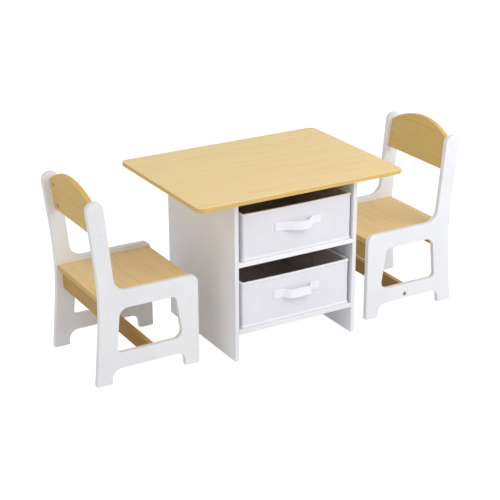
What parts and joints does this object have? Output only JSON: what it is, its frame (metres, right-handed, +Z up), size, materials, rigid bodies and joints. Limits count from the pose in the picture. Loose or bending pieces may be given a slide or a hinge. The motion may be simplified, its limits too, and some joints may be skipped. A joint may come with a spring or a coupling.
{
  "type": "kids table and chairs",
  "caption": "Low children's table with fabric storage bins in its open base, and matching chairs with arched backrests that face each other across it.",
  "frame": {"origin": "on the floor, under the middle of the table top", "axes": "+X along the table's length from chair a to chair b, +Y from the open front of the table to its closed back, +Z up"},
  "size_m": [1.147, 0.462, 0.5287],
  "materials": {
    "table_top_maple": "satin light maple laminate, fine straight grain along the length",
    "chair_maple": "satin maple veneer, fine straight grain",
    "white_board": "white satin paint on fibreboard",
    "back_board": "thin white-faced hardboard",
    "dowel_beech": "plain beech",
    "bin_fabric": "off-white non-woven fabric over card",
    "bin_card": "covered card",
    "handle_webbing": "folded fabric strap",
    "steel": "zinc plated"
  },
  "bodies": {
    "table": {"table_top": "table_top_maple", "side_panel_left": "white_board", "side_panel_right": "white_board", "middle_shelf": "white_board", "bottom_shelf": "white_board", "back_panel": "back_board", "dowel_left_front": "dowel_beech", "dowel_left_back": "dowel_beech", "dowel_right_front": "dowel_beech", "dowel_right_back": "dowel_beech"},
    "upper_bin": {"upper_bin_fabric": "bin_fabric", "upper_bin_base_board": "bin_card", "upper_bin_handle": "handle_webbing"},
    "lower_bin": {"lower_bin_fabric": "bin_fabric", "lower_bin_base_board": "bin_card", "lower_bin_handle": "handle_webbing"},
    "chair_a": {"chair_a_left_panel": "white_board", "chair_a_right_panel": "white_board", "chair_a_seat": "chair_maple", "chair_a_front_apron": "chair_maple", "chair_a_rear_apron": "chair_maple", "chair_a_stretcher": "chair_maple", "chair_a_backrest": "chair_maple", "chair_a_front_apron_screw_left": "steel", "chair_a_rear_apron_screw_left": "steel", "chair_a_stretcher_screw_left": "steel", "chair_a_backrest_bolt_lower_left": "steel", "chair_a_barrel_nut_lower_left": "steel", "chair_a_backrest_bolt_upper_left": "steel", "chair_a_barrel_nut_upper_left": "steel", "chair_a_front_apron_screw_right": "steel", "chair_a_rear_apron_screw_right": "steel", "chair_a_stretcher_screw_right": "steel", "chair_a_backrest_bolt_lower_right": "steel", "chair_a_barrel_nut_lower_right": "steel", "chair_a_backrest_bolt_upper_right": "steel", "chair_a_barrel_nut_upper_right": "steel"},
    "chair_b": {"chair_b_left_panel": "white_board", "chair_b_right_panel": "white_board", "chair_b_seat": "chair_maple", "chair_b_front_apron": "chair_maple", "chair_b_rear_apron": "chair_maple", "chair_b_stretcher": "chair_maple", "chair_b_backrest": "chair_maple", "chair_b_front_apron_screw_left": "steel", "chair_b_rear_apron_screw_left": "steel", "chair_b_stretcher_screw_left": "steel", "chair_b_backrest_bolt_lower_left": "steel", "chair_b_barrel_nut_lower_left": "steel", "chair_b_backrest_bolt_upper_left": "steel", "chair_b_barrel_nut_upper_left": "steel", "chair_b_front_apron_screw_right": "steel", "chair_b_rear_apron_screw_right": "steel", "chair_b_stretcher_screw_right": "steel", "chair_b_backrest_bolt_lower_right": "steel", "chair_b_barrel_nut_lower_right": "steel", "chair_b_backrest_bolt_upper_right": "steel", "chair_b_barrel_nut_upper_right": "steel"}
  },
  "joints": [
    {"name": "upper_bin_slide", "type": "slide", "parent": "table", "child": "upper_bin", "axis": [0, -1, 0], "range_m": [0, 0.3]},
    {"name": "lower_bin_slide", "type": "slide", "parent": "table", "child": "lower_bin", "axis": [0, -1, 0], "range_m": [0, 0.3]},
    {"name": "chair_a_slide", "type": "slide", "parent": "table", "child": "chair_a", "axis": [-1, 0, 0], "range_m": [-0.075, 0.25]},
    {"name": "chair_b_slide", "type": "slide", "parent": "table", "child": "chair_b", "axis": [1, 0, 0], "range_m": [-0.06, 0.25]}
  ]
}
